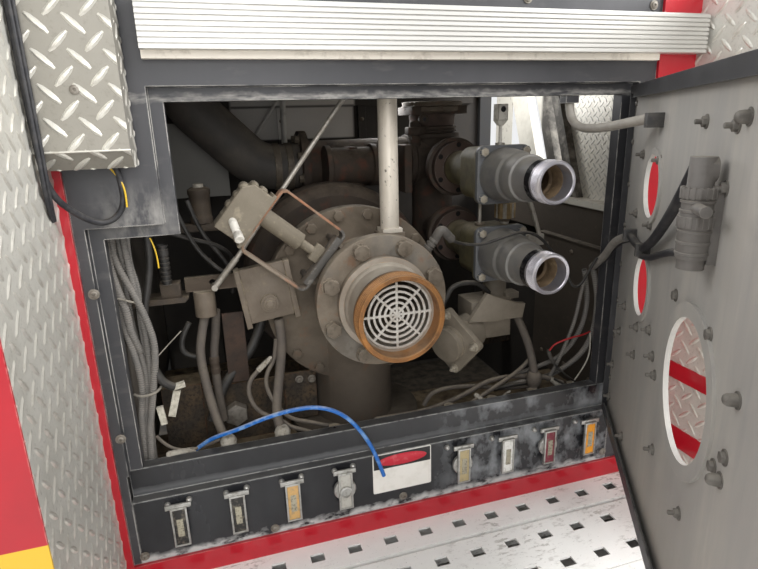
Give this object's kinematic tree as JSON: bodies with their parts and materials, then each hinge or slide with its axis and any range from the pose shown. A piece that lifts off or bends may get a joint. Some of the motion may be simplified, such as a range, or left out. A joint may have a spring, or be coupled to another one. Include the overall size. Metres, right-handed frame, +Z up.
{
  "type": "fire engine pump compartment",
  "caption": "Side pump bay of a fire engine: recessed black panel, holed door on a long hinge, pump intake, hose outlets, drain pulls and a punched running board.",
  "frame": {"origin": "underside of the base frame, below the pump panel's outer face and midway between the two return walls", "axes": "+X along the vehicle to the right of someone facing the panel, +Y into the vehicle, +Z up"},
  "size_m": [1.336, 1.6943, 1.12],
  "materials": {
    "black_panel": "worn satin black sheet",
    "gloss_black": "gloss black sheet, worn at its lower edge",
    "red_paint": "gloss red paint",
    "tread_plate": "raised diamond tread plate",
    "bright_aluminium": "ribbed or punched aluminium extrusion",
    "frame_steel": "dark painted square tube",
    "cast_iron": "dusty iron casting with rust",
    "valve_iron": "dusty dark casting",
    "chrome": "plated, dusty",
    "bronze": "tarnished bronze thread",
    "zinc": "cast grille",
    "pole_aluminium": "dusty tube",
    "hose_rubber": "dusty rubber",
    "door_grey": "dusty grey paint on the inner face",
    "plate_white": "blank plate",
    "black_plastic": "moulded",
    "rusty_steel": "dusty strap, rusted along its edges",
    "loom_plastic": "corrugated tube, dusty",
    "plated_steel": "plated rods and links",
    "blue_nylon": "air tube, scuffed"
  },
  "bodies": {
    "module": {"base_frame": "frame_steel", "upright_frame": "frame_steel", "panel_surround": "black_panel", "drain_panel": "gloss_black", "red_frame": "red_paint", "left_return_wall": "tread_plate", "right_return_wall": "tread_plate", "left_corner_skin": "red_paint", "right_corner_skin": "red_paint", "corner_box": "tread_plate", "rub_rail": "bright_aluminium", "rub_rail_lip": "bright_aluminium", "inner_plank": "bright_aluminium", "outer_plank": "bright_aluminium", "edge_plank": "bright_aluminium", "drain_handles": "chrome", "drain_valves": "valve_iron", "label_plate": "plate_white", "intake_flange": "cast_iron", "intake_collar": "cast_iron", "intake_thread_ring": "bronze", "strainer": "zinc", "suction_body": "cast_iron", "pump_volute": "cast_iron", "pump_gearbox": "cast_iron", "pump_crossmembers": "frame_steel", "support_pole": "pole_aluminium", "discharge_manifold": "cast_iron", "tank_line": "hose_rubber", "valve_body_upper": "valve_iron", "valve_body_lower": "valve_iron", "outlet_adapter_upper": "valve_iron", "outlet_adapter_lower": "valve_iron", "outlet_ring_upper": "chrome", "outlet_ring_lower": "chrome", "rear_bulkhead": "frame_steel", "side_partition": "frame_steel", "hinge_leaf_fixed": "bright_aluminium", "left_partition": "frame_steel", "window_posts": "bright_aluminium", "tread_bulkhead": "tread_plate", "actuator": "valve_iron", "actuator_bracket": "rusty_steel", "square_valve": "valve_iron", "relief_valve": "cast_iron", "control_rods": "plated_steel", "drain_hoses": "hose_rubber", "wire_looms": "loom_plastic", "sensor_line": "black_plastic", "box_cable": "black_plastic", "blue_tube": "blue_nylon", "door_stay": "hose_rubber", "door_harness": "black_plastic"},
    "door": {"door_skin": "door_grey", "door_edge": "black_panel", "door_hole_rims": "black_plastic", "hinge_leaf_door": "bright_aluminium", "door_connector": "black_plastic", "door_brackets": "rusty_steel", "door_cables": "black_plastic"}
  },
  "joints": [
    {"name": "door_hinge", "type": "hinge", "parent": "module", "child": "door", "pos_m": [0.449, -0.007, 0.6], "axis": [0, 0, 1], "range_deg": [-59, 31], "deforming": ["door_stay", "door_harness", "blue_tube"]}
  ]
}
